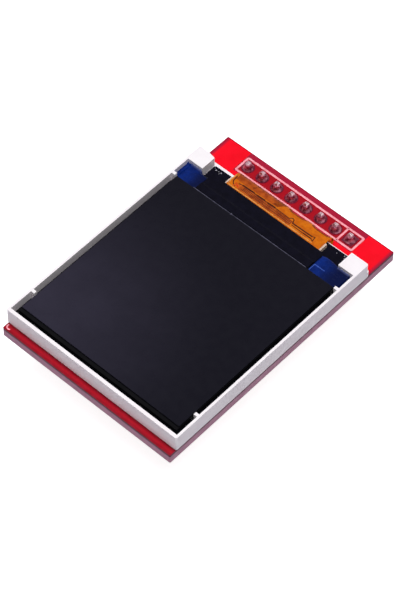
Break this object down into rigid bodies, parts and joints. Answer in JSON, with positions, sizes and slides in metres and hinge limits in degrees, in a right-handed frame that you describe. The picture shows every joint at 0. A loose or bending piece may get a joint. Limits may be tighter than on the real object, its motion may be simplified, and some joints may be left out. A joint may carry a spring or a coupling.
{
  "type": "tft display module",
  "caption": "Small colour TFT screen in a white moulded frame, taped to a red circuit board with a row of header pins along its rear edge.",
  "frame": {"origin": "middle of the pin row on the seating face of the header's plastic strip", "axes": "+X along the pin row to the square pad of the first pin, +Y to the board's header end, +Z out of the screen"},
  "size_m": [0.0292, 0.0426, 0.0131],
  "materials": {
    "solder_mask": "gloss",
    "bare_metal": "satin",
    "black_plastic": "matte",
    "white_plastic": "satin",
    "tape_white": "matte",
    "film": "satin",
    "clear_plastic": "gloss",
    "foam_black": "matte",
    "glass": "gloss",
    "screen": "satin",
    "tape_black": "satin",
    "glue_blue": "gloss",
    "ribbon_amber": "gloss",
    "paper_beige": "matte",
    "ceramic_brown": "matte",
    "led_yellow": "gloss"
  },
  "bodies": {
    "root": {"board": "solder_mask", "header_pads": "bare_metal", "header_strip": "black_plastic", "header_pins": "bare_metal", "header_solder": "bare_metal", "mounting_tape": "tape_white", "backlight_frame": "white_plastic", "reflector": "film", "light_guide": "clear_plastic", "diffuser": "film", "prism_film_lower": "film", "prism_film_upper": "film", "leds": "led_yellow", "led_strip": "ribbon_amber", "rim_tape": "foam_black", "rear_polarizer": "screen", "rear_glass": "glass", "front_glass": "glass", "front_polarizer": "screen", "driver_chip": "black_plastic", "cover_tape": "tape_black", "glue_left": "glue_blue", "glue_right": "glue_blue", "rear_tape": "tape_black", "ribbon_support": "paper_beige", "ribbon": "ribbon_amber", "ribbon_contacts": "bare_metal", "regulator": "black_plastic", "regulator_legs": "bare_metal", "transistor": "black_plastic", "transistor_legs": "bare_metal", "resistors": "black_plastic", "resistor_ends": "bare_metal", "capacitors": "ceramic_brown", "capacitor_ends": "bare_metal"}
  },
  "joints": []
}
